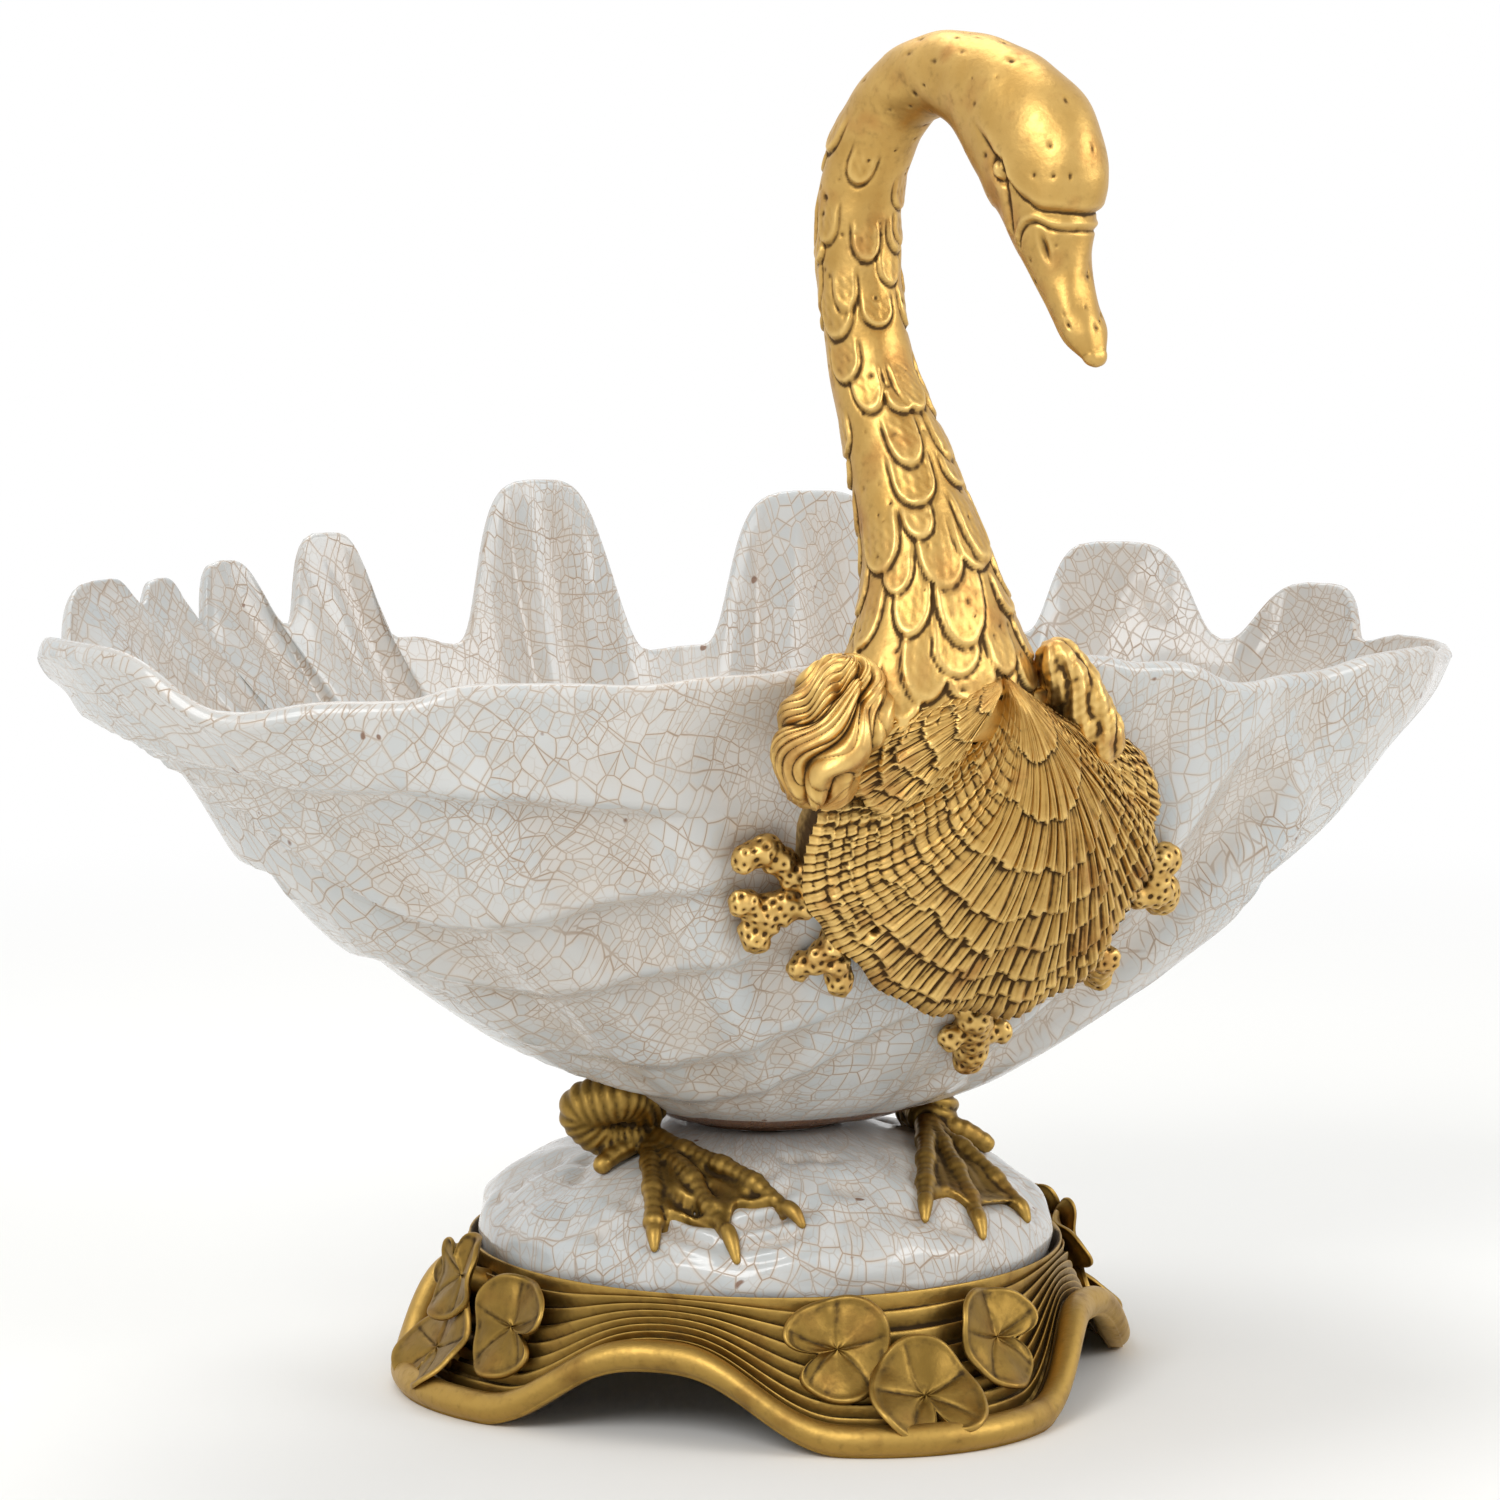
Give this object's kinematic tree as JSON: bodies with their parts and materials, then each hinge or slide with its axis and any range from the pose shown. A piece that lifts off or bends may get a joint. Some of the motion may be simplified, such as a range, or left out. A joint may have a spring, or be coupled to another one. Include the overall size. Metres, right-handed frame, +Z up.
{
  "type": "swan-shaped bowl",
  "caption": "Clam-shell porcelain centrepiece bowl on a rock stand, with a gilt bronze swan neck, shells, coral, webbed feet and a lobed lily-pad plinth.",
  "frame": {"origin": "centre of the underside of the bounding box, on the surface that the plinth stands on", "axes": "+X along the bowl's length, to the swan's left; -Y the way the swan faces; +Z up"},
  "size_m": [0.4566, 0.2998, 0.4006],
  "materials": {
    "crackle_porcelain": "glossy glaze with a net of tan crackle lines",
    "gilt_bronze": "cast and gilt, with a dark antique wash in the recesses",
    "antique_gilt_bronze": "cast and gilt, dulled to a brown antique finish",
    "brass_fastener": "turned brass",
    "leather": "cut washer leather"
  },
  "bodies": {
    "root": {"shell_bowl": "crackle_porcelain", "rock_base": "crackle_porcelain", "plinth_mount": "antique_gilt_bronze", "lily_pad_right_1": "antique_gilt_bronze", "lily_pad_right_2": "antique_gilt_bronze", "lily_pad_right_3": "antique_gilt_bronze", "lily_pad_right_4": "antique_gilt_bronze", "lily_pad_back_1": "antique_gilt_bronze", "lily_pad_back_2": "antique_gilt_bronze", "lily_pad_back_3": "antique_gilt_bronze", "lily_pad_left_1": "antique_gilt_bronze", "lily_pad_left_2": "antique_gilt_bronze", "lily_pad_left_3": "antique_gilt_bronze", "lily_pad_left_4": "antique_gilt_bronze", "lily_pad_front_1": "antique_gilt_bronze", "lily_pad_front_2": "antique_gilt_bronze", "lily_pad_front_3": "antique_gilt_bronze", "swan_neck": "gilt_bronze", "front_scallop": "gilt_bronze", "rear_scallop": "gilt_bronze", "side_scallop": "gilt_bronze", "whelk_shell": "gilt_bronze", "ridged_shell": "gilt_bronze", "coral_left_high": "gilt_bronze", "coral_left_low": "gilt_bronze", "coral_bottom": "gilt_bronze", "coral_right_low": "gilt_bronze", "coral_right_middle": "gilt_bronze", "coral_right_high": "gilt_bronze", "right_webbed_foot": "antique_gilt_bronze", "right_foot_washer": "brass_fastener", "right_foot_nut": "brass_fastener", "left_webbed_foot": "antique_gilt_bronze", "left_foot_washer": "brass_fastener", "left_foot_nut": "brass_fastener", "neck_stud_upper": "brass_fastener", "neck_washer_upper": "brass_fastener", "neck_nut_upper": "brass_fastener", "neck_stud_lower": "brass_fastener", "neck_washer_lower": "brass_fastener", "neck_nut_lower": "brass_fastener", "tie_rod": "brass_fastener", "bedding_ring": "leather", "bowl_washer": "brass_fastener", "bowl_cap_nut": "brass_fastener", "clamp_bar": "brass_fastener", "base_washer": "brass_fastener", "base_nut": "brass_fastener"}
  },
  "joints": []
}
